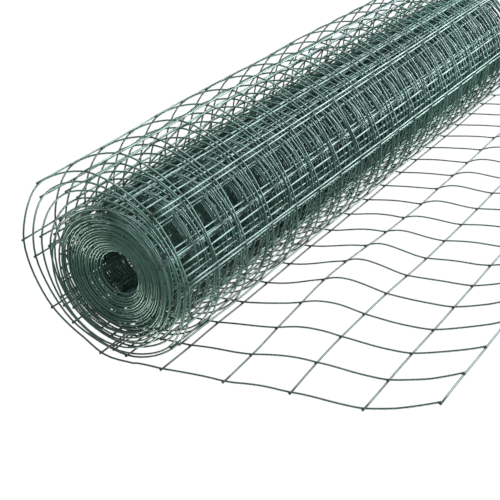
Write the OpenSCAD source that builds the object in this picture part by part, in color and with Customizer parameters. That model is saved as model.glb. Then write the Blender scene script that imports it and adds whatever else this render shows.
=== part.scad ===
// Roll of coated welded wire fencing, lying on the floor with its free end drawn out.
// X is the way the sheet unrolls, Y the axis of the roll and Z up. The floor is at Z = 0.

/* [Mesh] */
// Width of the fence between its two edge line wires
mesh_w = 914.4; // [304.8:50.8:1219.2]
// Spacing of the line wires, which run the length of the fence
line_pitch = 50.8; // [25.4:12.7:101.6]
// Spacing of the cross wires, which run over its width
cross_pitch = 76.2; // [50.8:12.7:101.6]
// Thickness of a wire over its coating
wire_d = 2; // [1:0.1:2.4]
// How far two crossing wires sink into each other at a weld
weld_sink = 0.3; // [0.1:0.05:0.4]
// How far the cut ends of the wires stand past the outermost welds
cut_end = 2.5; // [1.5:0.5:6]

/* [Wound roll] */
// Outside diameter of the tight turns
roll_d = 152; // [110:2:200]
// Diameter of the open core
core_d = 45; // [30:1:80]
// Radial pitch of the tight turns, whose wires lie beside each other and nest
tight_pitch = 1.36; // [1.2:0.02:4]
// How far the edge wires of the tight turns stand out on the ends
edge_relief = 1.5; // [0.5:0.1:3]

/* [Loose turns] */
// Radial pitch of the loose turns where they lie closest
loose_pitch = 3.4; // [3:0.1:6]
// Extra radius that each loose turn has sprung out by
slack = 3.5; // [0:0.1:5]
// Where the turns have sprung out most, in degrees round from the floor towards the back
slack_side = 119; // [90:1:150]
// Height of the tight turns over the floor
roll_lift = 26; // [24:1:40]

/* [Lead-out] */
// Length of the free end drawn out from under the axis of the roll
lead_l = 341; // [160:1:600]
// Height that the free edge has curled up to
end_curl = 22; // [0:1:40]
// Height of the buckle in the drawn-out sheet
buckle_h = 15; // [0:1:30]

/* [Hidden] */
roll_r = roll_d / 2;
core_r = core_d / 2;
half_w = mesh_w / 2;
cells = round(mesh_w / line_pitch);
cell_w = mesh_w / cells;
// Crossing wires are this far apart between centres
weld_rise = wire_d - weld_sink;
// Height of a line wire whose cross wires lie on the floor
flat_z = wire_d / 2 + weld_rise;
axis_z = roll_r + roll_lift;
// Loose turns, one node each
loose_turns = 4;
// Angle of a facet of a loose turn, and of the wound edge
facet = 360 / 32;
edge_facet = 18;
// Angle by which the outermost turn has risen clear of the floor
rise_from = 6;
rise_over = 34;
// The edge wires stop this far short of the core and of the outside, and leave a groove between turns
edge_inset = 0.6;
edge_w = 0.65 * tight_pitch;
// Outside of the tight turns under their outermost line wires, and of those wires
body_r = roll_r - weld_rise - wire_d;
ring_r = roll_r - weld_rise;
// Cross wires on the outermost tight turn
roll_crosses = floor(2 * PI * roll_r / cross_pitch);
// The sprung side is narrower than half a turn, and a little past the slack side
lobe_narrow = 0.38;
lobe_shift = 14;
// The innermost loose turn is pressed into the wound roll by this much
seat = 0.15;
// Facets of the drawn-out sheet
lead_n = ceil(lead_l / cross_pitch * 4);
curl_l = 1.25 * cross_pitch;
// The buckle lies slantwise over the second and third cells
buckle_x = lead_l - 2.65 * cross_pitch;
buckle_y = 0.21 * mesh_w - half_w;
buckle_slant = -1.07;
buckle_half_x = 1.31 * cross_pitch;
buckle_half_y = 0.25 * mesh_w;

function clamp01(v) = min(1, max(0, v));
function ease(v) = clamp01(v) * clamp01(v) * (3 - 2 * clamp01(v));
function bump(v) = abs(v) >= 1 ? 0 : pow(cos(90 * v), 2);

// Height of the drawn-out sheet over its flat state
function lead_rise(x, y) =
    end_curl * pow(clamp01((x - lead_l + curl_l) / curl_l), 2)
    + buckle_h * bump((x - buckle_x) / buckle_half_x)
    * bump((y - buckle_y - buckle_slant * (x - buckle_x)) / buckle_half_y);

// Share of the slack at an angle round from the floor
function lobe(a) =
    1 + cos(a - slack_side) + lobe_narrow * cos(2 * (a - slack_side - lobe_shift));

// Radius of the sheet at an angle round from the floor, counted on from turn to turn
function turn_r(a) =
    roll_r + wire_d / 2 - seat + (loose_turns - a / 360) * (loose_pitch + slack * lobe(a));

// Point of a loose turn in X and Z: the outermost one starts flat on the floor
function turn_at(a) =
    let (r = turn_r(a), w = ease((a - rise_from) / rise_over))
    [-r * sin(a), flat_z * (1 - w) + (axis_z - r * cos(a)) * w];

// Left-hand normal of a direction in X and Z
function normal_of(d) = [-d.y, d.x] / norm(d);

// Outward normal of a loose turn, over two facets
function turn_normal(a) = normal_of(turn_at(a + facet) - turn_at(a - facet));

// Sheet length at each facet corner of the loose turns, from the free edge
facet_count = loose_turns * 360 / facet;
length_to_angle = [
    for (i = 0, s = lead_l; i <= facet_count;
        s = s + norm(turn_at((i + 1) * facet) - turn_at(i * facet)), i = i + 1) [s, i * facet]
];
facets_per_turn = 360 / facet;
cross_count = floor(length_to_angle[facet_count][0] / cross_pitch);

// The part is centred over its own box
back_x = min([for (i = [0:facet_count]) turn_at(i * facet).x]) - wire_d / 2;
front_x = lead_l + cut_end;
shift_x = -(back_x + front_x) / 2;

// Runs a flat outline in X and Z out along Y to a wire's thickness
module along_y(y) {
    translate([0, y + wire_d / 2, 0])
        rotate([90, 0, 0])
            linear_extrude(wire_d)
                children();
}

// Ribbon of a given thickness about a line of points with its normals
module ribbon(points, normals, t) {
    ends = len(points) - 1;
    polygon(concat(
        [for (i = [0:ends]) points[i] + normals[i] * t / 2],
        [for (i = [ends:-1:0]) points[i] - normals[i] * t / 2]
    ));
}

// Edge wires of the tight turns: one spiral from the core to the outside
module edge_spiral() {
    inner = core_r + edge_w / 2 + edge_inset;
    sweep = 360 * (body_r - core_r - edge_w - 2 * edge_inset) / tight_pitch;
    n = ceil(sweep / edge_facet);
    angles = [for (i = [0:n]) sweep * i / n];
    ribbon(
        [for (a = angles) (inner + tight_pitch * a / 360) * [cos(a), sin(a)]],
        [for (a = angles) [cos(a), sin(a)]],
        edge_w
    );
}

// Section of the tight turns, with the line wires of the outermost one as rings
module roll_section(body_w) {
    translate([core_r, -body_w / 2])
        square([body_r - core_r, body_w]);
    for (i = [0:cells])
        translate([body_r - weld_sink, -half_w + i * cell_w - wire_d / 2])
            square([ring_r - body_r + weld_sink, wire_d]);
}

// Tight turns as one turned solid with the open core. Their edge wires stand proud of both ends, and
// the wires of the outermost turn stand proud of the outside.
module wound_roll() {
    body_w = mesh_w + wire_d - 2 * edge_relief;
    color("#2f5a48")
        translate([shift_x, 0, axis_z]) {
            rotate([90, 0, 0]) {
                rotate_extrude($fn = 96)
                    roll_section(body_w);
                for (side = [0, 1])
                    mirror([0, 0, side])
                        translate([0, 0, body_w / 2 - weld_sink])
                            linear_extrude(edge_relief + weld_sink)
                                edge_spiral();
            }
            for (k = [0:roll_crosses - 1])
                rotate([0, k * cross_pitch / roll_r * 180 / PI, 0])
                    translate([0, 0, wire_d / 2 - roll_r])
                        cube([wire_d, mesh_w + 2 * cut_end, wire_d], center = true);
        }
}

// Line wire of the drawn-out sheet at one place over its width
module lead_line(y) {
    xs = concat([front_x], [for (i = [0:lead_n]) lead_l * (1 - i / lead_n)]);
    n = len(xs) - 1;
    points = [for (x = xs) [x, flat_z + lead_rise(x, y)]];
    along_y(y)
        ribbon(points, [for (i = [0:n]) normal_of(points[max(i - 1, 0)] - points[min(i + 1, n)])], wire_d);
}

// Cross wire of the drawn-out sheet, bent over the buckle
module lead_cross(x) {
    ys = concat(
        [-half_w - cut_end],
        [for (i = [0:2 * cells]) -half_w + i * cell_w / 2],
        [half_w + cut_end]
    );
    translate([x - wire_d / 2, 0, 0])
        rotate([90, 0, 90])
            linear_extrude(wire_d)
                ribbon([for (y = ys) [y, wire_d / 2 + lead_rise(x, y)]], [for (y = ys) [0, 1]], wire_d);
}

// Free end of the sheet, drawn out flat from under the roll
module lead_out() {
    color("#35634f")
        translate([shift_x, 0, 0]) {
            for (i = [0:cells])
                lead_line(-half_w + i * cell_w);
            for (k = [0:floor((lead_l - wire_d) / cross_pitch)])
                lead_cross(lead_l - k * cross_pitch);
        }
}

// Cross wire of a loose turn, laid on the outside of the facet at this sheet length
module turn_cross(s) {
    a = lookup(s, length_to_angle);
    i = min(floor(a / facet), facet_count - 1);
    from = turn_at(i * facet);
    to = turn_at((i + 1) * facet);
    outward = normal_of(to - from);
    at = from + (to - from) * (a / facet - i) + outward * weld_rise;
    translate([at.x, 0, at.y])
        rotate([0, -atan2(to.y - from.y, to.x - from.x), 0])
            cube([wire_d, mesh_w + 2 * cut_end, wire_d], center = true);
}

// One loose turn of the sheet: line wires bent round, cross wires welded on their outside
module loose_turn(turn) {
    first = (turn - 1) * facets_per_turn;
    angles = [for (i = [first:first + facets_per_turn]) i * facet];
    start_s = length_to_angle[first][0];
    end_s = length_to_angle[first + facets_per_turn][0];
    translate([shift_x, 0, 0]) {
        for (i = [0:cells])
            along_y(-half_w + i * cell_w)
                ribbon([for (a = angles) turn_at(a)], [for (a = angles) turn_normal(a)], wire_d);
        for (k = [0:cross_count])
            if (k * cross_pitch >= start_s && k * cross_pitch < end_s)
                turn_cross(k * cross_pitch);
    }
}

module loose_turn_1() {
    color("#3b6b57")
        loose_turn(1);
}

module loose_turn_2() {
    color("#396853")
        loose_turn(2);
}

module loose_turn_3() {
    color("#376550")
        loose_turn(3);
}

module loose_turn_4() {
    color("#35624d")
        loose_turn(4);
}

wound_roll();
lead_out();
loose_turn_1();
loose_turn_2();
loose_turn_3();
loose_turn_4();
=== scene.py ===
"""Roll of green coated welded wire fencing, lying on the floor with its free end drawn out.

Every wire is a round tube swept along the same wound sheet that the CAD source describes: flat on the
floor, then round the loose turns, then round the tight ones down to the open core. Settings are in metres
and radians. The formulas work in millimetres, and in degrees counted on round the roll from the floor.
"""

from math import radians
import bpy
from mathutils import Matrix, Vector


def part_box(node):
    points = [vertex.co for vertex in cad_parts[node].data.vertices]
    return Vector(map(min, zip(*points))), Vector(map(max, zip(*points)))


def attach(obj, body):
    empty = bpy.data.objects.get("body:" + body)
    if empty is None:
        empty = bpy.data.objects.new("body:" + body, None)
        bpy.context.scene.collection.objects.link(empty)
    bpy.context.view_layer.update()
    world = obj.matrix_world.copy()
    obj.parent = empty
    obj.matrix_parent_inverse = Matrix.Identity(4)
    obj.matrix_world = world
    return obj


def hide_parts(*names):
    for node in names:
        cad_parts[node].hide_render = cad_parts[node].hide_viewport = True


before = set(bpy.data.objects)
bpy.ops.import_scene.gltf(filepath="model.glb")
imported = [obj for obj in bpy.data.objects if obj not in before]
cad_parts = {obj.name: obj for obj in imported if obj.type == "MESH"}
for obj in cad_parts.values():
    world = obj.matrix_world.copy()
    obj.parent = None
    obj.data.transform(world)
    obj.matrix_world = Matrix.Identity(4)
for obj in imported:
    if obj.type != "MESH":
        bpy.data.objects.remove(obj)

from types import SimpleNamespace

import bpy
import numpy as np
from mathutils import Matrix, Vector

bl_info = {
    "name": "Wire Fencing Roll",
    "version": (1, 0, 0),
    "blender": (4, 5, 0),
    "location": "View3D > Sidebar > Fencing",
    "description": "Builds the wires of a roll of welded fencing over its CAD frame, with its stage",
    "category": "Add Mesh",
}

COATING = "green_coating"
WEAR_AND_SHADE = "CoatedWireWearAndShade"
ROOT = "root"
UNLISTED = ("rna_type", "name")
MM_PER_M = 1000.0
TURN = 360.0

# Side that has sprung out: share of the second cosine, and how far past that side it lies in degrees
LOBE_NARROW, LOBE_SHIFT = 0.38, 14.0
# Degrees over which the outermost turn rises from the floor
RISE_FROM, RISE_OVER = 6.0, 34.0
# Share of the width over which the flare comes in
FLARE_OVER = 0.35
# How far the innermost loose turn is pressed onto the tight ones
SEAT = 0.15
# Share by which the outer tight turns lie further apart, and the inner ones closer
CROWD = 0.06

# Curl and buckle of the drawn-out end, in cells along the sheet and in shares of its width
CURL_CELLS = 1.25
BUCKLE_CELL, BUCKLE_HALF_CELLS = 2.65, 1.31
BUCKLE_SIDE, BUCKLE_HALF_WIDTH = -0.29, 0.25
BUCKLE_SLANT = 1.07
# Arches of its line wires: height in every cell, and added height in the high one
ARCH, ARCH_HIGH = 1.2, 4.5
# Number of the cell with the high arch, and how that arch leans
ARCH_CELL, ARCH_LEAN = 2.0, 1.8
# Where over the width the high arch comes in
ARCH_FROM, ARCH_OVER = -330.0, 200.0

# Waves in the small bends, and their lengths along the sheet and over its width
WAVES = 9
WAVE_S, WAVE_Y = (90.0, 520.0), 150.0
# Share of the bends on tight turns, added on loose ones, upwards on the floor, and sideways
BEND_TIGHT, BEND_LOOSE, BEND_UP, BEND_SIDE = 0.5, 1.3, 1.2, 0.6
# Bulge of a loose line wire at its welds, its sharpness, and its mean, which is taken off
BULGE, BULGE_SHARP, BULGE_MEAN = 1.1, 3, 0.42
# Slant of the cross wires, and how fast it changes from one to the next
SKEW, SKEW_STEP = 0.006, 2.4

# Golden ratio, which spreads the turns' slides evenly
SPREAD = 0.6180339887
# How often per turn nested turns change over, and the share of that stretch which the change takes
NEST_DRIFT, NEST_OVER = 0.93, 0.25
# Share of the slide that the loose turns and the inner turns don't have, and the degrees over which it goes
LOOSE_STILL, INNER_STILL = 0.85, 0.94
INNER_FROM, INNER_OVER = 1620.0, 3200.0

# Reach of a weld along the wires
WELD_REACH = 5.0
# Radii of a weld's bead along, across and out of the sheet, and its share of the way to the cross wire
BEAD_RADII = (1.8, 1.8, 1.7)
BEAD_OUT = 0.45
# Rings of a bead, their corners, and how far short of the poles the outer ones stop, in steps of a ring
BEAD_RINGS, BEAD_SEGMENTS, BEAD_TIP = 4, 8, 0.6
# Half the length of sheet over which a direction is taken
STEP = 2.0
# Corners of a wire's section, and samples along the line wires
FREE_SIDES, TIGHT_SIDES = 8, 6
LEAD_SAMPLES, LOOSE_SAMPLES, TIGHT_SAMPLES = 61, 60, 16
CROSS_SAMPLES = 3

# Heights over the floor between which dust on the wires fades out, and how dull and how grey it makes them
DUST_FROM, DUST_TO = 0.02, 0.05
DUST_DULL, DUST_GREY = 0.5, 0.7
# How dull a weld is, and how dark the painted shade at a weld is: a darker colour at the crossings that
# stands in for the shade where the wires cross
WELD_DULL, WELD_SHADE = 0.6, 0.8
# Noise over the coating, as scale and detail, and the values between which each takes effect
BATCH_NOISE, BATCH_FROM, BATCH_TO = (6.0, 2.0), 0.35, 0.65
RUB_NOISE, RUB_FROM, RUB_TO, RUB_MOST = (55.0, 4.0), 0.56, 0.7, 0.55
GLOSS_NOISE, GLOSS_FROM, GLOSS_TO = (120.0, 3.0), 0.3, 0.7
GRAIN_NOISE, GRAIN_STRENGTH, GRAIN_DEPTH = (900.0, 2.0), 0.25, 0.0004
COATING_IOR = 1.5
# Floor under its own glow
FLOOR_COLOUR, FLOOR_ROUGHNESS = (0.02, 0.02, 0.02, 1.0), 0.9
FLOOR_GLOW_COLOUR = (1.0, 1.0, 1.0, 1.0)
# Distance of the lights from the roll, and where the bounce from the floor begins, as a cosine
LIGHT_DISTANCE = 2.0
BOUNCE_FROM = 0.85


class FencingSettings(bpy.types.PropertyGroup):
    """Sizes of the mesh, of the roll and of its drawn-out end."""

    mesh_w: bpy.props.FloatProperty(
        name="Mesh width", description="Width between the edge line wires",
        default=0.9144, min=0.1, unit="LENGTH",
    )
    cells: bpy.props.IntProperty(
        name="Cells over the width", description="Number of cells between the edge line wires",
        default=18, min=2,
    )
    cross_pitch: bpy.props.FloatProperty(
        name="Cross wire pitch", description="Spacing of the cross wires along the sheet",
        default=0.0762, min=0.01, unit="LENGTH",
    )
    line_d: bpy.props.FloatProperty(
        name="Line wire", description="Thickness of a line wire over its coating",
        default=0.002, min=0.0005, unit="LENGTH",
    )
    cross_d: bpy.props.FloatProperty(
        name="Cross wire", description="Thickness of a cross wire over its coating",
        default=0.002, min=0.0005, unit="LENGTH",
    )
    weld_rise: bpy.props.FloatProperty(
        name="Weld height", description="Distance between the centres of two crossing wires",
        default=0.0017, min=0.0005, unit="LENGTH",
    )
    edge_end: bpy.props.FloatProperty(
        name="Edge ends", description="How far the cross wires stand past the edge line wires",
        default=0.0011, min=0.0, unit="LENGTH",
    )
    cut_end: bpy.props.FloatProperty(
        name="Cut ends", description="How far the line wires stand past the free edge",
        default=0.0018, min=0.0, unit="LENGTH",
    )
    roll_r: bpy.props.FloatProperty(
        name="Roll radius", description="Outside radius of the tight turns",
        default=0.076, min=0.02, unit="LENGTH",
    )
    core_r: bpy.props.FloatProperty(
        name="Core radius", description="Radius of the open core",
        default=0.0225, min=0.005, unit="LENGTH",
    )
    tight_pitch: bpy.props.FloatProperty(
        name="Tight pitch", description="Radial pitch of the tight turns",
        default=0.00136, min=0.001, unit="LENGTH",
    )
    loose_turns: bpy.props.IntProperty(
        name="Loose turns", description="Turns that have sprung away from the tight ones",
        default=4, min=1,
    )
    loose_pitch: bpy.props.FloatProperty(
        name="Loose pitch", description="Radial pitch of the loose turns where they lie closest",
        default=0.0034, min=0.001, unit="LENGTH",
    )
    slack: bpy.props.FloatProperty(
        name="Slack", description="Extra radius that each loose turn has sprung out by",
        default=0.0035, min=0.0, unit="LENGTH",
    )
    slack_side: bpy.props.FloatProperty(
        name="Slack side", description="Angle round from the floor where the turns have sprung out most",
        default=radians(119.0), subtype="ANGLE",
    )
    roll_lift: bpy.props.FloatProperty(
        name="Roll lift", description="Height of the tight turns over the floor",
        default=0.026, min=0.0, unit="LENGTH",
    )
    lead_l: bpy.props.FloatProperty(
        name="Lead-out", description="Length of the free end drawn out from under the axis",
        default=0.341, min=0.05, unit="LENGTH",
    )
    end_curl: bpy.props.FloatProperty(
        name="End curl", description="Height that the free edge has curled up to",
        default=0.022, min=0.0, unit="LENGTH",
    )
    buckle_h: bpy.props.FloatProperty(
        name="Buckle", description="Height of the buckle in the drawn-out sheet",
        default=0.015, min=0.0, unit="LENGTH",
    )
    wander: bpy.props.FloatProperty(
        name="Wander", description="How far the outer tight turns have slid along the axis",
        default=0.0155, min=0.0, unit="LENGTH",
    )
    nest: bpy.props.FloatProperty(
        name="Nesting", description="How far nested turns lie to either side",
        default=0.0012, min=0.0, unit="LENGTH",
    )
    dish: bpy.props.FloatProperty(
        name="Dish", description="How far the innermost turn has drawn in",
        default=0.008, min=0.0, unit="LENGTH",
    )
    dish_turns: bpy.props.FloatProperty(
        name="Dish turns", description="Number of inner turns that have drawn in",
        default=15.0, min=1.0,
    )
    flare: bpy.props.FloatProperty(
        name="Flare", description="Share by which the slack grows away from the near end",
        default=0.18, min=0.0, subtype="FACTOR",
    )
    uneven: bpy.props.FloatProperty(
        name="Unevenness", description="Size of the small bends in the wires",
        default=0.0005, min=0.0, unit="LENGTH",
    )
    seed: bpy.props.IntProperty(
        name="Seed", description="Seed of the small bends",
        default=7, min=0,
    )


class FencingFinishSettings(bpy.types.PropertyGroup):
    """Colours and gloss of the coating."""

    deep: bpy.props.FloatVectorProperty(
        name="Deep green", description="Coating where it is darkest",
        default=(0.056, 0.12, 0.097), min=0.0, max=1.0, subtype="COLOR",
    )
    pale: bpy.props.FloatVectorProperty(
        name="Pale green", description="Coating where it is lightest",
        default=(0.088, 0.18, 0.146), min=0.0, max=1.0, subtype="COLOR",
    )
    rubbed: bpy.props.FloatVectorProperty(
        name="Rubbed", description="Coating where it is rubbed",
        default=(0.2, 0.28, 0.27), min=0.0, max=1.0, subtype="COLOR",
    )
    dusty: bpy.props.FloatVectorProperty(
        name="Dusty", description="Coating of the wires on the floor",
        default=(0.075, 0.078, 0.076), min=0.0, max=1.0, subtype="COLOR",
    )
    # Painted shade: colour put at and near the welds for the shade where the crossing wires shade each
    # other, not a colour of the coating
    weld_shade: bpy.props.FloatVectorProperty(
        name="Welds", description="Coating over the welds",
        default=(0.012, 0.028, 0.022), min=0.0, max=1.0, subtype="COLOR",
    )
    smooth: bpy.props.FloatProperty(
        name="Smooth", description="Roughness where the coating is smoothest",
        default=0.14, min=0.0, max=1.0, subtype="FACTOR",
    )
    matt: bpy.props.FloatProperty(
        name="Matt", description="Roughness where the coating is dullest",
        default=0.27, min=0.0, max=1.0, subtype="FACTOR",
    )


class FencingStageSettings(bpy.types.PropertyGroup):
    """Floor, light and camera."""

    floor_size: bpy.props.FloatProperty(
        name="Floor", description="Side of the floor",
        default=80.0, min=1.0, unit="LENGTH",
    )
    floor_glow: bpy.props.FloatProperty(
        name="Floor glow", description="Light that the floor gives by itself",
        default=1.0, min=0.0,
    )
    sky: bpy.props.FloatProperty(
        name="Sky", description="Strength of the even light from all round, on its bright side",
        default=1.3, min=0.0,
    )
    sky_low: bpy.props.FloatProperty(
        name="Sky, far side", description="Strength of that light on the opposite side",
        default=0.05, min=0.0,
    )
    sky_side: bpy.props.FloatVectorProperty(
        name="Sky side", description="Direction of the sky's bright side",
        default=(0.45, 0.55, 0.70), subtype="DIRECTION",
    )
    sky_tint: bpy.props.FloatVectorProperty(
        name="Sky tint", description="Colour of the sky",
        default=(0.95, 1.0, 1.0), min=0.0, max=1.0, subtype="COLOR",
    )
    bounce: bpy.props.FloatProperty(
        name="Bounce", description="Strength of the light that comes up from the floor before the near end",
        default=18.5, min=0.0,
    )
    bounce_side: bpy.props.FloatVectorProperty(
        name="Bounce side", description="Direction that the bounce comes from",
        default=(-0.21, -0.42, -0.88), subtype="DIRECTION",
    )
    bounce_tint: bpy.props.FloatVectorProperty(
        name="Bounce tint", description="Colour of the bounce",
        default=(0.80, 1.0, 0.83), min=0.0, max=1.0, subtype="COLOR",
    )
    key: bpy.props.FloatProperty(
        name="Key light", description="Power of the large soft light",
        default=107.0, min=0.0, unit="POWER",
    )
    key_side: bpy.props.FloatVectorProperty(
        name="Key side", description="Direction that the key light comes from",
        default=(0.55, 0.77, 0.36), subtype="DIRECTION",
    )
    key_size: bpy.props.FloatVectorProperty(
        name="Key size", description="Width and height of the key light",
        default=(1.25, 1.75), min=0.0, size=2, unit="LENGTH",
    )
    top: bpy.props.FloatProperty(
        name="Top light", description="Power of the soft light overhead",
        default=35.0, min=0.0, unit="POWER",
    )
    top_side: bpy.props.FloatVectorProperty(
        name="Top side", description="Direction that the top light comes from",
        default=(0.05, 0.35, 0.93), subtype="DIRECTION",
    )
    top_size: bpy.props.FloatVectorProperty(
        name="Top size", description="Width and height of the top light",
        default=(1.0, 1.4), min=0.0, size=2, unit="LENGTH",
    )
    lamp_tint: bpy.props.FloatVectorProperty(
        name="Lamp tint", description="Colour of the two soft lights",
        default=(0.87, 0.95, 1.0), min=0.0, max=1.0, subtype="COLOR",
    )
    lens: bpy.props.FloatProperty(
        name="Lens", description="Focal length of the camera",
        default=78.6, min=10.0, unit="CAMERA",
    )
    camera_place: bpy.props.FloatVectorProperty(
        name="Camera", description="Place of the camera",
        default=(0.5837, -1.1776, 0.5271), subtype="TRANSLATION", unit="LENGTH",
    )
    yaw: bpy.props.FloatProperty(
        name="Yaw", description="Angle that the camera is turned by from the roll's axis to the lead-out",
        default=radians(-36.3), subtype="ANGLE",
    )
    pitch: bpy.props.FloatProperty(
        name="Pitch", description="Angle by which the camera looks down",
        default=radians(23.0), subtype="ANGLE",
    )
    tilt: bpy.props.FloatProperty(
        name="Tilt", description="Angle by which the camera is turned about its own line of sight",
        default=radians(-9.3), subtype="ANGLE",
    )


def millimetres(settings):
    """Plain values of a group of settings, with every length turned into millimetres."""
    values = {}
    for prop in settings.bl_rna.properties:
        if prop.identifier not in UNLISTED:
            value = getattr(settings, prop.identifier)
            values[prop.identifier] = value * MM_PER_M if prop.unit == "LENGTH" else value
    return SimpleNamespace(**values)


def ease(v):
    """Smooth step: 3 v^2 - 2 v^3, with v held between 0 and 1."""
    v = np.clip(v, 0.0, 1.0)
    return v * v * (3.0 - 2.0 * v)


def bump(v):
    """Square of a cosine over one hump, 0 outside it."""
    return np.where(np.abs(v) < 1.0, np.cos(0.5 * np.pi * np.clip(v, -1.0, 1.0)) ** 2, 0.0)


def unit(v):
    """Vectors scaled to length 1."""
    return v / np.maximum(np.linalg.norm(v, axis=-1, keepdims=True), 1e-9)


class Sheet:
    """The wound sheet as a function of the length s from the free edge and the place y over the width."""

    def __init__(self, p):
        self.p = p
        self.flat_z = p.line_d / 2 + p.weld_rise
        self.axis_z = p.roll_r + p.roll_lift
        self.loose_end = TURN * p.loose_turns
        self.end_r = p.roll_r + p.line_d / 2 - SEAT
        self.tight_r = p.roll_r - p.weld_rise - p.line_d / 2
        self.tight_depth = self.tight_r - p.core_r - p.line_d / 2
        self.last_a = self.loose_end + TURN * (1.0 + self.tight_depth / p.tight_pitch)
        rng = np.random.default_rng(p.seed)
        self.wave_s = 1.0 / rng.uniform(*WAVE_S, WAVES)
        self.wave_y = rng.uniform(-1.0, 1.0, WAVES) / WAVE_Y
        self.phase = rng.uniform(0.0, 2.0 * np.pi, (2, WAVES))
        self.skew_phase = rng.uniform(0.0, 2.0 * np.pi, 4)[2]
        self.slides = 2.0 * (np.arange(int(self.last_a / TURN) + 3) * SPREAD % 1.0) - 1.0
        a = np.arange(0.0, self.last_a + 1.0, 1.0)
        x, z = self.turn(a, np.full_like(a, -p.mesh_w / 2))
        self.angles = a
        self.lengths = p.lead_l + np.concatenate([[0.0], np.cumsum(np.hypot(np.diff(x), np.diff(z)))])
        self.total = self.lengths[-1]
        low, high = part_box("wound_roll")
        self.shift_x = MM_PER_M * (low[0] + high[0]) / 2

    def turn(self, a, y):
        """Point at angle a, in X and Z.

        On the loose turns the radius is the end radius + turns left * (pitch + slack * lobe). The lobe is
        1 + a cosine about the side that has sprung out + a share of a cosine of twice the angle, and the
        slack grows away from the near end. Over the next turn the radius closes in with the cube of the
        angle, and from there it falls almost evenly to the core. The start lies flat on the floor.
        """
        p = self.p
        rad = np.radians(a)
        left = np.maximum(self.loose_end - a, 0.0) / TURN
        second = p.slack_side + radians(LOBE_SHIFT)
        lobe = 1.0 + np.cos(rad - p.slack_side) + LOBE_NARROW * np.cos(2.0 * (rad - second))
        more = 1.0 + p.flare * ease((y + p.mesh_w / 2) / (FLARE_OVER * p.mesh_w))
        r = self.end_r + left * (p.loose_pitch + p.slack * lobe * more)
        first = np.clip((a - self.loose_end) / TURN, 0.0, 1.0) ** 3
        tight_start = self.loose_end + TURN
        t = np.clip((a - tight_start) / (self.last_a - tight_start), 0.0, 1.0)
        r = r - (self.end_r - self.tight_r) * first - self.tight_depth * (t + CROWD * t * (1.0 - t))
        w = ease((a - RISE_FROM) / RISE_OVER)
        return -r * np.sin(rad), self.flat_z * (1.0 - w) + (self.axis_z - r * np.cos(rad)) * w

    def rise(self, x, y):
        """Height of the drawn-out sheet: a parabola up to the free edge, and one slanting hump that is a
        product of two squared cosines."""
        p = self.p
        curl = CURL_CELLS * p.cross_pitch
        off_x = x - p.lead_l + BUCKLE_CELL * p.cross_pitch
        off_y = y - BUCKLE_SIDE * p.mesh_w + BUCKLE_SLANT * off_x
        up = p.end_curl * np.clip((x - p.lead_l + curl) / curl, 0.0, None) ** 2
        hump_x = bump(off_x / (BUCKLE_HALF_CELLS * p.cross_pitch))
        hump_y = bump(off_y / (BUCKLE_HALF_WIDTH * p.mesh_w))
        return up + p.buckle_h * hump_x * hump_y

    def arch(self, s, y):
        """Height of a line wire over the chord between two welds of the drawn-out sheet: half a sine over
        every cell, and a higher one leaning back over one cell, away from the near edge."""
        cell = np.floor(s / self.p.cross_pitch)
        u = s / self.p.cross_pitch - cell
        high = (cell == ARCH_CELL) * np.sin(np.pi * u**ARCH_LEAN) * ease((y - ARCH_FROM) / ARCH_OVER)
        return ARCH * np.sin(np.pi * u) + ARCH_HIGH * high

    def ripple(self, s, y, row):
        """Sum of sines over the sheet, each with its own wavelength, slant and phase, divided by the root of
        their number."""
        t = s[..., None] * self.wave_s + y[..., None] * self.wave_y
        return np.sin(2.0 * np.pi * t + self.phase[row]).sum(-1) / np.sqrt(WAVES)

    def slide(self, a):
        """Shift along the axis.

        Every turn has its own share of the wander, spread evenly by the golden ratio and eased from one
        turn to the next, largest on the outer tight turns. Further in, the turns nest: they lie by turns on
        one side and on the other, and change over in the first quarter of about every turn. The last turns
        before the core draw in with the square of their number, which leaves a dish in the near end.
        """
        p = self.p
        turns = a / TURN
        i = turns.astype(int)
        f = ease(turns - i)
        share = self.slides[i] * (1.0 - f) + self.slides[i + 1] * f
        loose = np.clip((self.loose_end + TURN / 2 - a) / TURN, 0.0, 1.0)
        inner = np.clip((a - self.loose_end - INNER_FROM) / INNER_OVER, 0.0, 1.0)
        change = NEST_DRIFT * turns
        k = change.astype(int)
        beside = (1.0 - 2.0 * (k % 2)) * (1.0 - 2.0 * ease((change - k) / NEST_OVER))
        dish = np.clip(1.0 - (self.last_a - a) / (TURN * p.dish_turns), 0.0, 1.0) ** 2
        drift = p.wander * share * (1.0 - np.maximum(LOOSE_STILL * loose, INNER_STILL * inner))
        return drift + p.nest * beside * (1.0 - loose) + p.dish * dish

    def at(self, s, y):
        """Centre of a line wire at length s and width y, in the shared frame: the point of the lead-out or
        of the turn, pushed out from the axis by the small bends and by the bulge at the welds, and shifted
        along the axis."""
        p = self.p
        s, y = np.broadcast_arrays(np.asarray(s, float), np.asarray(y, float))
        a = np.interp(s, self.lengths, self.angles)
        turn_x, turn_z = self.turn(a, y)
        lead = s < p.lead_l
        lead_x = p.lead_l - s
        x = np.where(lead, lead_x, turn_x)
        z = np.where(lead, self.flat_z + self.rise(lead_x, y) + self.arch(s, y), turn_z)
        loose = np.clip((self.loose_end + TURN - a) / (2.0 * TURN), 0.0, 1.0)
        bend = p.uneven * (BEND_TIGHT + BEND_LOOSE * loose) * self.ripple(s, y, 0)
        bulge = np.abs(np.cos(np.pi * s / p.cross_pitch)) ** BULGE_SHARP - BULGE_MEAN
        out = np.where(lead, 0.0, bend + BULGE * loose * bulge)
        reach = np.maximum(np.hypot(x, z - self.axis_z), 1.0)
        up = out * (z - self.axis_z) / reach + np.where(lead, BEND_UP * np.abs(bend), 0.0)
        x = x + out * x / reach
        z = np.maximum(z + up, self.flat_z)
        y = y + self.slide(a) + BEND_SIDE * p.uneven * self.ripple(s, y, 1)
        return np.stack([x + self.shift_x, y, z], -1)

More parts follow.
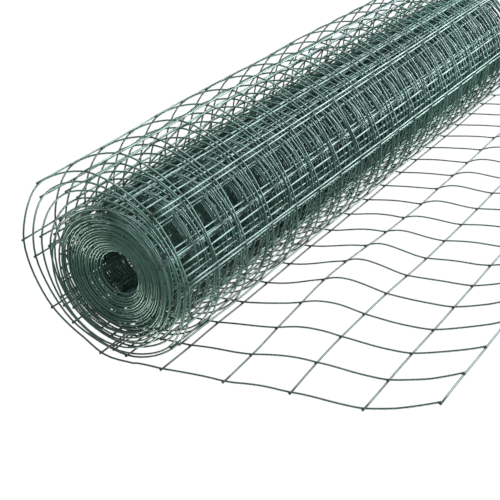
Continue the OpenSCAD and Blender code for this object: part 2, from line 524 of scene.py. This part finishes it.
    def along(self, s, y):
        """Step along a line wire, from a little before length s to a little past it."""
        return self.at(s + STEP, y) - self.at(s - STEP, y)

    def outward(self, s, y):
        """Unit normal of the sheet away from the roll's axis: the direction along s turned by a right angle
        in X and Z."""
        d = self.along(s, y)
        n = np.stack([-d[..., 2], np.zeros(d.shape[:-1]), d[..., 0]], -1)
        return n / np.linalg.norm(n, axis=-1, keepdims=True)

    def weld_s(self, k, y):
        """Sheet length of cross wire k at width y: an even pitch, and past the lead-out a small slant."""
        s = k * self.p.cross_pitch
        return s + SKEW * np.sin(SKEW_STEP * k + self.skew_phase) * y * (s > self.p.lead_l)

    def length_at(self, a):
        """Sheet length at angle a."""
        return float(np.interp(a, self.angles, self.lengths))

    def crosses_before(self, s):
        """Number of the last cross wire before length s."""
        return int(s // self.p.cross_pitch)


def tube_faces(index):
    """Corners of closed tubes and how many each face has, from vertex numbers of shape (tubes, rings,
    sides): quads between neighbouring rings, and a cap on both ends."""
    a, b = index[:, :-1], index[:, 1:]
    quads = np.stack([a, np.roll(a, -1, 2), np.roll(b, -1, 2), b], -1).reshape(-1, 4)
    caps = np.concatenate([index[:, 0, ::-1], index[:, -1]])
    loops = np.concatenate([quads.ravel(), caps.ravel()])
    totals = np.concatenate([np.full(len(quads), 4), np.full(len(caps), index.shape[2])])
    return loops, totals


def sweep(paths, radius, sides, reference):
    """Round tubes along paths of shape (wires, samples, 3): each point of a circle of the given radius is
    carried along in the plane across the path, turned from the reference direction. The UV map runs along
    the wire and round it. Returns vertices, loops, face totals and UVs."""
    wires, samples = paths.shape[:2]
    tangent = unit(np.gradient(paths, axis=1))
    side = unit(np.cross(tangent, np.broadcast_to(reference, tangent.shape)))
    other = np.cross(side, tangent)
    t = 2.0 * np.pi * np.arange(sides) / sides
    ring = np.cos(t)[:, None] * side[:, :, None, :] + np.sin(t)[:, None] * other[:, :, None, :]
    verts = (paths[:, :, None, :] + radius * ring).reshape(-1, 3)
    loops, totals = tube_faces(np.arange(len(verts)).reshape(wires, samples, sides))
    steps = np.cumsum(np.linalg.norm(np.diff(paths, axis=1), axis=-1), 1)
    length = np.concatenate([np.zeros((wires, 1)), steps], 1) / MM_PER_M
    u = np.stack([length[:, :-1], length[:, :-1], length[:, 1:], length[:, 1:]], -1)
    u = np.repeat(u[:, :, None, :], sides, 2).reshape(-1)
    k = np.arange(sides) / sides
    v = np.stack([k, k + 1.0 / sides, k + 1.0 / sides, k], -1)
    v = np.broadcast_to(v, (wires, samples - 1, sides, 4)).reshape(-1)
    uv = np.zeros((len(loops), 2))
    uv[: len(u)] = np.stack([u, v], -1)
    return verts, loops, totals, uv


def beads(centres, along, across, out):
    """Ellipsoids at the welds: centre + the three directions, each scaled by its radius, times a point of a
    unit sphere in rings of latitude that stop short of the poles. Returns the same as sweep."""
    lat = np.pi * (np.arange(BEAD_RINGS) + BEAD_TIP) / (BEAD_RINGS - 1 + 2 * BEAD_TIP) - np.pi / 2
    lon = 2.0 * np.pi * np.arange(BEAD_SEGMENTS) / BEAD_SEGMENTS
    c, s = np.cos(lat)[:, None], np.sin(lat)[:, None]
    height = np.broadcast_to(s, (BEAD_RINGS, BEAD_SEGMENTS))
    ball = np.stack([c * np.cos(lon), c * np.sin(lon), height], -1)
    axes = np.stack([along, across, out], 1) * np.array(BEAD_RADII)[:, None]
    verts = (centres[:, None, None, :] + np.einsum("ijk,nkl->nijl", ball, axes)).reshape(-1, 3)
    loops, totals = tube_faces(np.arange(len(verts)).reshape(-1, BEAD_RINGS, BEAD_SEGMENTS))
    return verts, loops, totals, np.zeros((len(loops), 2))


def mesh_piece(name, parts, weld):
    """Makes one object of the given parts, with smooth faces, a UV map along each wire and the mask of its
    welds, which the coating uses for painted shade and duller gloss there."""
    verts, loops, totals, uv = parts
    data = bpy.data.meshes.new(name)
    data.vertices.add(len(verts))
    data.vertices.foreach_set("co", (verts / MM_PER_M).astype(np.float32).ravel())
    data.loops.add(len(loops))
    data.loops.foreach_set("vertex_index", loops.astype(np.int32))
    data.polygons.add(len(totals))
    starts = np.concatenate([[0], np.cumsum(totals)[:-1]])
    data.polygons.foreach_set("loop_start", starts.astype(np.int32))
    data.polygons.foreach_set("loop_total", totals.astype(np.int32))
    data.update(calc_edges=True)
    data.polygons.foreach_set("use_smooth", totals == 4)
    data.uv_layers.new(name="wire").data.foreach_set("uv", uv.astype(np.float32).ravel())
    mask = np.broadcast_to(weld, (len(verts),)).astype(np.float32)
    data.attributes.new("weld", "FLOAT", "POINT").data.foreach_set("value", mask)
    if data.validate():
        raise RuntimeError(f"{name} has faulty faces")
    data.materials.append(wire_material(bpy.context.scene.fencing_finish))
    piece = bpy.data.objects.new(name, data)
    bpy.context.scene.collection.objects.link(piece)
    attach(piece, ROOT)
    return piece


def near_weld(place, pitch):
    """1 at every multiple of the pitch, falling evenly to 0 over the reach of a weld."""
    off = np.abs((place + pitch / 2) % pitch - pitch / 2)
    return np.clip(1.0 - off / WELD_REACH, 0.0, 1.0)


def line_wires(sheet, name, start, end, samples, sides):
    """Line wires over one stretch of the sheet."""
    p = sheet.p
    s = np.linspace(start, end, samples)
    y = np.linspace(-p.mesh_w / 2, p.mesh_w / 2, p.cells + 1)
    paths = sheet.at(s[None, :], y[:, None])
    weld = np.repeat(np.tile(near_weld(s, p.cross_pitch), len(y)), sides)
    return mesh_piece(name, sweep(paths, p.line_d / 2, sides, np.array([0.0, 1.0, 0.0])), weld)


def cross_wires(sheet, name, first, last, sides):
    """Cross wires with the given numbers, laid on the outside of the line wires."""
    p = sheet.p
    k = np.arange(first, last + 1)
    half = p.mesh_w / 2 + p.edge_end
    y = np.linspace(-half, half, CROSS_SAMPLES * p.cells + 1)
    s = sheet.weld_s(k[:, None], y[None, :])
    paths = sheet.at(s, y[None, :]) + sheet.outward(s, y[None, :]) * p.weld_rise
    weld = np.repeat(np.tile(near_weld(y + p.mesh_w / 2, p.mesh_w / p.cells), len(k)), sides)
    return mesh_piece(name, sweep(paths, p.cross_d / 2, sides, np.array([0.0, 0.0, 1.0])), weld)


def weld_beads(sheet, name, first, last):
    """Thickened coating at the welds of the cross wires with the given numbers, coloured with the full
    painted shade of a weld.
    """
    p = sheet.p
    lines = np.linspace(-p.mesh_w / 2, p.mesh_w / 2, p.cells + 1)
    k, y = np.meshgrid(np.arange(first, last + 1), lines, indexing="ij")
    k, y = k.ravel(), y.ravel()
    s = sheet.weld_s(k, y)
    out = sheet.outward(s, y)
    along = unit(sheet.along(s, y))
    centres = sheet.at(s, y) + out * BEAD_OUT * p.weld_rise
    return mesh_piece(name, beads(centres, along, np.cross(out, along), out), 1.0)


def wear_and_shade_group(finish):
    """Shader node group: from a place and a weld mask it gives a colour, a roughness and a height that vary
    over the wires. Noise mixes the greens and the rubbed places, the height over the floor gives the dust,
    and the weld mask paints shade into the colour at the crossings."""
    if WEAR_AND_SHADE in bpy.data.node_groups:
        return bpy.data.node_groups[WEAR_AND_SHADE]
    g = bpy.data.node_groups.new(WEAR_AND_SHADE, "ShaderNodeTree")
    g.interface.new_socket("Place", in_out="INPUT", socket_type="NodeSocketVector")
    g.interface.new_socket("Weld", in_out="INPUT", socket_type="NodeSocketFloat")
    g.interface.new_socket("Color", in_out="OUTPUT", socket_type="NodeSocketColor")
    g.interface.new_socket("Roughness", in_out="OUTPUT", socket_type="NodeSocketFloat")
    g.interface.new_socket("Height", in_out="OUTPUT", socket_type="NodeSocketFloat")
    n, link = g.nodes, g.links.new
    inp, out = n.new("NodeGroupInput"), n.new("NodeGroupOutput")

    def noise(scale, detail):
        t = n.new("ShaderNodeTexNoise")
        t.inputs["Scale"].default_value = scale
        t.inputs["Detail"].default_value = detail
        link(inp.outputs["Place"], t.inputs["Vector"])
        return t.outputs["Fac"]

    def remap(value, low, high, to_low, to_high):
        m = n.new("ShaderNodeMapRange")
        ends = {"From Min": low, "From Max": high, "To Min": to_low, "To Max": to_high}
        for socket, end in ends.items():
            m.inputs[socket].default_value = end
        link(value, m.inputs["Value"])
        return m.outputs["Result"]

    def tint(factor, under, colour):
        m = n.new("ShaderNodeMix")
        m.data_type = "RGBA"
        link(factor, m.inputs["Factor"])
        link(under, m.inputs["A"])
        m.inputs["B"].default_value = (*colour, 1.0)
        return m.outputs["Result"]

    def plain(colour):
        c = n.new("ShaderNodeRGB")
        c.outputs["Color"].default_value = (*colour, 1.0)
        return c.outputs["Color"]

    def larger(a, b):
        m = n.new("ShaderNodeMath")
        m.operation = "MAXIMUM"
        link(a, m.inputs[0])
        link(b, m.inputs[1])
        return m.outputs["Value"]

    split = n.new("ShaderNodeSeparateXYZ")
    link(inp.outputs["Place"], split.inputs["Vector"])
    height, weld = split.outputs["Z"], inp.outputs["Weld"]

    batch = remap(noise(*BATCH_NOISE), BATCH_FROM, BATCH_TO, 0.0, 1.0)
    colour = tint(batch, plain(finish.deep), finish.pale)
    colour = tint(remap(noise(*RUB_NOISE), RUB_FROM, RUB_TO, 0.0, RUB_MOST), colour, finish.rubbed)
    colour = tint(remap(height, DUST_FROM, DUST_TO, DUST_GREY, 0.0), colour, finish.dusty)
    # Painted shade: the colour darkens at and near the welds, for the shade where the wires cross
    colour = tint(remap(weld, 0.0, 1.0, 0.0, WELD_SHADE), colour, finish.weld_shade)
    link(colour, out.inputs["Color"])

    gloss = remap(noise(*GLOSS_NOISE), GLOSS_FROM, GLOSS_TO, finish.smooth, finish.matt)
    dust = remap(height, DUST_FROM, DUST_TO, DUST_DULL, 0.0)
    dull = remap(weld, 0.0, 1.0, 0.0, WELD_DULL)
    link(larger(larger(gloss, dust), dull), out.inputs["Roughness"])
    link(noise(*GRAIN_NOISE), out.inputs["Height"])
    return g


def wire_material(finish):
    """Plastic coating over the wire, with painted shade at the welds."""
    if COATING in bpy.data.materials:
        return bpy.data.materials[COATING]
    m = bpy.data.materials.new(COATING)
    m.use_nodes = True
    n, link = m.node_tree.nodes, m.node_tree.links.new
    shader = n["Principled BSDF"]
    shader.inputs["IOR"].default_value = COATING_IOR
    place, mask = n.new("ShaderNodeTexCoord"), n.new("ShaderNodeAttribute")
    mask.attribute_name = "weld"
    wear_and_shade = n.new("ShaderNodeGroup")
    wear_and_shade.node_tree = wear_and_shade_group(finish)
    link(place.outputs["Object"], wear_and_shade.inputs["Place"])
    link(mask.outputs["Fac"], wear_and_shade.inputs["Weld"])
    link(wear_and_shade.outputs["Color"], shader.inputs["Base Color"])
    link(wear_and_shade.outputs["Roughness"], shader.inputs["Roughness"])
    grain = n.new("ShaderNodeBump")
    grain.inputs["Strength"].default_value = GRAIN_STRENGTH
    grain.inputs["Distance"].default_value = GRAIN_DEPTH
    link(wear_and_shade.outputs["Height"], grain.inputs["Height"])
    link(grain.outputs["Normal"], shader.inputs["Normal"])
    return m


def floor_material(glow):
    """Dark matt floor that glows white by itself, so that it shows no shadow."""
    m = bpy.data.materials.new("pale_floor")
    m.use_nodes = True
    shader = m.node_tree.nodes["Principled BSDF"]
    shader.inputs["Base Color"].default_value = FLOOR_COLOUR
    shader.inputs["Roughness"].default_value = FLOOR_ROUGHNESS
    shader.inputs["Specular IOR Level"].default_value = 0.0
    shader.inputs["Emission Color"].default_value = FLOOR_GLOW_COLOUR
    shader.inputs["Emission Strength"].default_value = glow
    return m


def white_floor(size, glow):
    """Square floor that only the camera sees: the wires get the world's light from below instead."""
    half = size / 2
    corners = [(-half, -half, 0), (half, -half, 0), (half, half, 0), (-half, half, 0)]
    data = bpy.data.meshes.new("floor")
    data.from_pydata(corners, [], [(0, 1, 2, 3)])
    data.materials.append(floor_material(glow))
    floor = bpy.data.objects.new("floor", data)
    floor.visible_diffuse = False
    floor.visible_glossy = False
    bpy.context.scene.collection.objects.link(floor)


def soft_light(name, side, size, power, colour):
    """Soft light of a given width and height, in one direction from the middle of the roll and facing it."""
    lamp = bpy.data.lights.new(name, "AREA")
    lamp.shape = "RECTANGLE"
    lamp.size, lamp.size_y = size
    lamp.energy = power
    lamp.color = colour
    light = bpy.data.objects.new(name, lamp)
    light.location = Vector(side).normalized() * LIGHT_DISTANCE
    light.rotation_mode = "QUATERNION"
    light.rotation_quaternion = light.location.to_track_quat("Z", "Y")
    bpy.context.scene.collection.objects.link(light)


def studio_world(p):
    """Soft light from all round: a dot product of the direction looked in with the sky's bright side, mapped
    to a grey that falls off to the far side, plus one with the bounce's side, mapped to the light that comes
    up from the floor."""
    world = bpy.data.worlds.new("studio")
    world.use_nodes = True
    n, link = world.node_tree.nodes, world.node_tree.links.new
    place = n.new("ShaderNodeTexCoord")

    def glow(side, start, low, high, tint):
        dot = n.new("ShaderNodeVectorMath")
        dot.operation = "DOT_PRODUCT"
        dot.inputs[1].default_value = side
        link(place.outputs["Generated"], dot.inputs[0])
        shade = n.new("ShaderNodeMapRange")
        link(dot.outputs["Value"], shade.inputs["Value"])
        ends = {"From Min": start, "From Max": 1.0, "To Min": low, "To Max": high}
        for socket, end in ends.items():
            shade.inputs[socket].default_value = end
        tinted = n.new("ShaderNodeVectorMath")
        tinted.operation = "SCALE"
        tinted.inputs[0].default_value = tint
        link(shade.outputs["Result"], tinted.inputs["Scale"])
        return tinted.outputs["Vector"]

    both = n.new("ShaderNodeVectorMath")
    link(glow(p.sky_side, -1.0, p.sky_low, p.sky, p.sky_tint), both.inputs[0])
    link(glow(p.bounce_side, BOUNCE_FROM, 0.0, p.bounce, p.bounce_tint), both.inputs[1])
    link(both.outputs["Vector"], n["Background"].inputs["Color"])
    return world


def camera_view(p):
    """Camera from its place and three angles: the line of sight from yaw and pitch, then a turn about it."""
    ahead = np.array([np.sin(p.yaw) * np.cos(p.pitch), np.cos(p.yaw) * np.cos(p.pitch), -np.sin(p.pitch)])
    level = np.array([np.cos(p.yaw), -np.sin(p.yaw), 0.0])
    upward = np.cross(level, ahead)
    view = np.eye(4)
    view[:3, 0] = np.cos(p.tilt) * level + np.sin(p.tilt) * upward
    view[:3, 1] = np.cos(p.tilt) * upward - np.sin(p.tilt) * level
    view[:3, 2] = -ahead
    view[:3, 3] = p.camera_place
    lens = bpy.data.cameras.new("camera")
    lens.lens = p.lens
    camera = bpy.data.objects.new("camera", lens)
    camera.matrix_world = Matrix(view.tolist())
    bpy.context.scene.collection.objects.link(camera)
    return camera


class FENCING_OT_lead_out(bpy.types.Operator):
    """Lays the free end of the sheet out on the floor."""

    bl_idname = "fencing.lead_out"
    bl_label = "Lay Lead-Out"

    def execute(self, context):
        p = millimetres(context.scene.fencing)
        sheet = Sheet(p)
        wires = line_wires(sheet, "lead_line_wires", -p.cut_end, p.lead_l, LEAD_SAMPLES, FREE_SIDES)
        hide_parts("lead_out")
        last = sheet.crosses_before(p.lead_l)
        cross_wires(sheet, "lead_cross_wires", 0, last, FREE_SIDES)
        weld_beads(sheet, "lead_welds", 0, last)
        return {"FINISHED"}


class FENCING_OT_loose_turns(bpy.types.Operator):
    """Winds the turns that have sprung away from the roll."""

    bl_idname = "fencing.loose_turns"
    bl_label = "Wind Loose Turns"

    def execute(self, context):
        p = millimetres(context.scene.fencing)
        sheet = Sheet(p)
        end = sheet.length_at(sheet.loose_end)
        samples = LOOSE_SAMPLES * p.loose_turns + 1
        wires = line_wires(sheet, "loose_line_wires", p.lead_l, end, samples, FREE_SIDES)
        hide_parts(*[f"loose_turn_{i + 1}" for i in range(p.loose_turns)])
        first, last = sheet.crosses_before(p.lead_l) + 1, sheet.crosses_before(end)
        cross_wires(sheet, "loose_cross_wires", first, last, FREE_SIDES)
        weld_beads(sheet, "loose_welds", first, last)
        return {"FINISHED"}


class FENCING_OT_tight_turns(bpy.types.Operator):
    """Winds the tight turns down to the open core."""

    bl_idname = "fencing.tight_turns"
    bl_label = "Wind Tight Turns"

    def execute(self, context):
        sheet = Sheet(millimetres(context.scene.fencing))
        start = sheet.length_at(sheet.loose_end)
        middle = sheet.length_at((sheet.loose_end + sheet.last_a) / 2)
        samples = int(TIGHT_SAMPLES * (sheet.last_a - sheet.loose_end) / TURN) + 1
        wires = line_wires(sheet, "tight_line_wires", start, middle, samples, TIGHT_SIDES)
        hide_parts("wound_roll")
        line_wires(sheet, "core_line_wires", middle, sheet.total, samples, TIGHT_SIDES)
        first, last = sheet.crosses_before(start) + 1, sheet.crosses_before(sheet.total)
        cross_wires(sheet, "tight_cross_wires", first, last, TIGHT_SIDES)
        weld_beads(sheet, "tight_welds", first, last)
        return {"FINISHED"}


class FENCING_OT_stage(bpy.types.Operator):
    """Sets the floor, the light and the camera."""

    bl_idname = "fencing.stage"
    bl_label = "Set Stage"

    def execute(self, context):
        scene, p = context.scene, context.scene.fencing_stage
        white_floor(p.floor_size, p.floor_glow)
        soft_light("key", p.key_side, p.key_size, p.key, p.lamp_tint)
        soft_light("top", p.top_side, p.top_size, p.top, p.lamp_tint)
        scene.world = studio_world(p)
        scene.camera = camera_view(p)
        scene.view_settings.view_transform = "Standard"
        return {"FINISHED"}


class FENCING_PT_panel(bpy.types.Panel):
    """Sidebar panel with the roll's settings and the steps that build it."""

    bl_idname = "FENCING_PT_panel"
    bl_label = "Wire Fencing Roll"
    bl_space_type = "VIEW_3D"
    bl_region_type = "UI"
    bl_category = "Fencing"

    def draw(self, context):
        scene = context.scene
        for settings in (scene.fencing, scene.fencing_finish, scene.fencing_stage):
            box = self.layout.box()
            for name in settings.bl_rna.properties.keys():
                if name not in UNLISTED:
                    box.prop(settings, name)
        for step in STEPS:
            self.layout.operator(step.bl_idname)


STEPS = (FENCING_OT_lead_out, FENCING_OT_loose_turns, FENCING_OT_tight_turns, FENCING_OT_stage)
CLASSES = (FencingSettings, FencingFinishSettings, FencingStageSettings, *STEPS, FENCING_PT_panel)


def register():
    for c in CLASSES:
        bpy.utils.register_class(c)
    bpy.types.Scene.fencing = bpy.props.PointerProperty(type=FencingSettings)
    bpy.types.Scene.fencing_finish = bpy.props.PointerProperty(type=FencingFinishSettings)
    bpy.types.Scene.fencing_stage = bpy.props.PointerProperty(type=FencingStageSettings)


def unregister():
    del bpy.types.Scene.fencing_stage
    del bpy.types.Scene.fencing_finish
    del bpy.types.Scene.fencing
    for c in reversed(CLASSES):
        bpy.utils.unregister_class(c)


def main():
    """Builds the roll and its stage."""
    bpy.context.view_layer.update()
    register()
    bpy.ops.fencing.lead_out()
    bpy.ops.fencing.loose_turns()
    bpy.ops.fencing.tight_turns()
    bpy.ops.fencing.stage()


if __name__ == "__main__":
    main()
